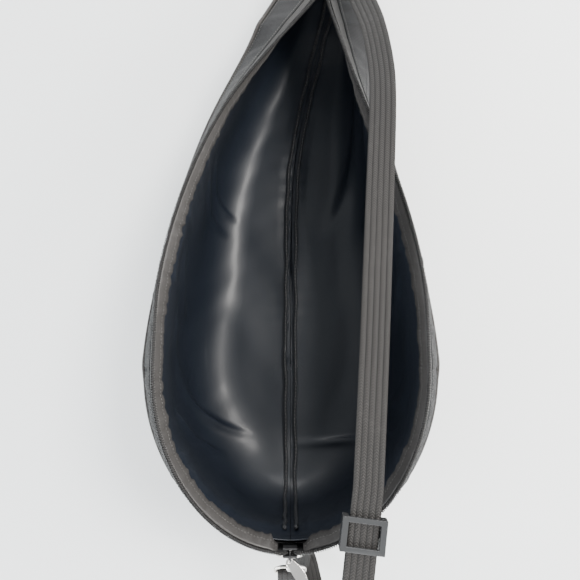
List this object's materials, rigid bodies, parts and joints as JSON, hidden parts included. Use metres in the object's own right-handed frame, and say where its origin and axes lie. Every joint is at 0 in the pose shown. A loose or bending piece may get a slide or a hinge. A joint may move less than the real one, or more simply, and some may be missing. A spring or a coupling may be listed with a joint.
{
  "type": "racket bag",
  "caption": "Padded leaf-shaped racket bag lying open on its spine, glossy dark lining, piped gusset, long zip and a clip-on webbing strap with a buckle.",
  "frame": {"origin": "on the underside of the spine strip, midway along the zip side's length", "axes": "+Y towards the narrow end, +Z out of the open mouth, +X to the right when looking towards the narrow end"},
  "size_m": [0.289, 0.8695, 0.2449],
  "materials": {
    "canvas": "matt coated polyester canvas",
    "lining": "glossy navy-black coated lining",
    "foam": "closed-cell foam padding",
    "piping": "woven piping cover",
    "zip_tape": "woven tape",
    "zip_coil": "nylon coil",
    "binding": "folded binding tape",
    "webbing": "ribbed grey-taupe webbing",
    "buckle": "moulded, polished",
    "nickel": "nickel plated",
    "black_metal": "black painted die casting"
  },
  "bodies": {
    "bag": {"far_bail": "nickel", "far_ring_tab": "webbing", "left_foam_pad": "foam", "left_gusset_strip": "canvas", "left_lining": "lining", "left_mouth_binding": "binding", "left_mouth_facing": "lining", "left_outer_panel": "canvas", "left_piping": "piping", "left_spine_rib": "binding", "left_zip_coil": "zip_coil", "left_zip_tape": "zip_tape", "narrow_end_gusset": "canvas", "narrow_end_panel": "canvas", "near_bail": "nickel", "near_ring_tab": "webbing", "right_foam_pad": "foam", "right_gusset_strip": "canvas", "right_lining": "lining", "right_mouth_binding": "binding", "right_mouth_facing": "lining", "right_outer_panel": "canvas", "right_piping": "piping", "right_spine_rib": "binding", "right_zip_coil": "zip_coil", "right_zip_tape": "zip_tape", "spine_strip": "canvas", "strap_webbing": "webbing", "wide_end_gusset": "canvas", "zip_bottom_stop": "nickel", "zip_end_tab": "canvas"},
    "slider": {"zip_slider": "black_metal"},
    "pull": {"zip_pull": "nickel"},
    "near_ring": {"near_d_ring": "nickel"},
    "near_clip": {"near_hook": "nickel"},
    "near_gate": {"near_gate": "nickel"},
    "far_ring": {"far_d_ring": "nickel"},
    "far_clip": {"far_hook": "nickel"},
    "far_gate": {"far_gate": "nickel"},
    "adjuster": {"tri_glide": "buckle", "strap_sewn_loop": "webbing"}
  },
  "joints": [
    {"name": "zip_slider_travel", "type": "slide", "parent": "bag", "child": "slider", "axis": [0, -0.2381, -0.9712], "range_m": [0, 0.005]},
    {"name": "pull_swing", "type": "hinge", "parent": "slider", "child": "pull", "pos_m": [0.00001, -0.37902, 0.19346], "axis": [0, 0.2381, 0.9712], "range_deg": [-80, 25]},
    {"name": "near_ring_swing", "type": "hinge", "parent": "bag", "child": "near_ring", "pos_m": [0.00001, -0.38131, 0.16983], "axis": [1, 0, 0], "range_deg": [-5, 5]},
    {"name": "near_clip_swivel", "type": "hinge", "parent": "bag", "child": "near_clip", "pos_m": [0.00001, -0.38131, 0.16983], "axis": [0, -0.7507, -0.6606], "range_deg": [-12, 12]},
    {"name": "near_gate_press", "type": "hinge", "parent": "near_clip", "child": "near_gate", "pos_m": [0.00001, -0.4002, 0.15799], "axis": [-1, 0, 0], "range_deg": [0, 22], "stiffness_Nm_per_rad": 0.005, "springref_deg": -11.46},
    {"name": "far_ring_swing", "type": "hinge", "parent": "bag", "child": "far_ring", "pos_m": [0.05141, 0.28068, 0.12768], "axis": [0.949, 0.311, -0.051], "range_deg": [-5, 5]},
    {"name": "far_clip_swivel", "type": "hinge", "parent": "bag", "child": "far_clip", "pos_m": [0.05141, 0.28068, 0.12768], "axis": [0.2989, -0.837, 0.4584], "range_deg": [-12, 12]},
    {"name": "far_gate_press", "type": "hinge", "parent": "far_clip", "child": "far_gate", "pos_m": [0.05763, 0.26389, 0.14096], "axis": [-0.949, -0.311, 0.051], "range_deg": [0, 22], "stiffness_Nm_per_rad": 0.005, "springref_deg": -11.46},
    {"name": "adjuster_travel", "type": "slide", "parent": "bag", "child": "adjuster", "axis": [0.1252, 0.9919, 0.02], "range_m": [-0.008, 0.008]}
  ]
}
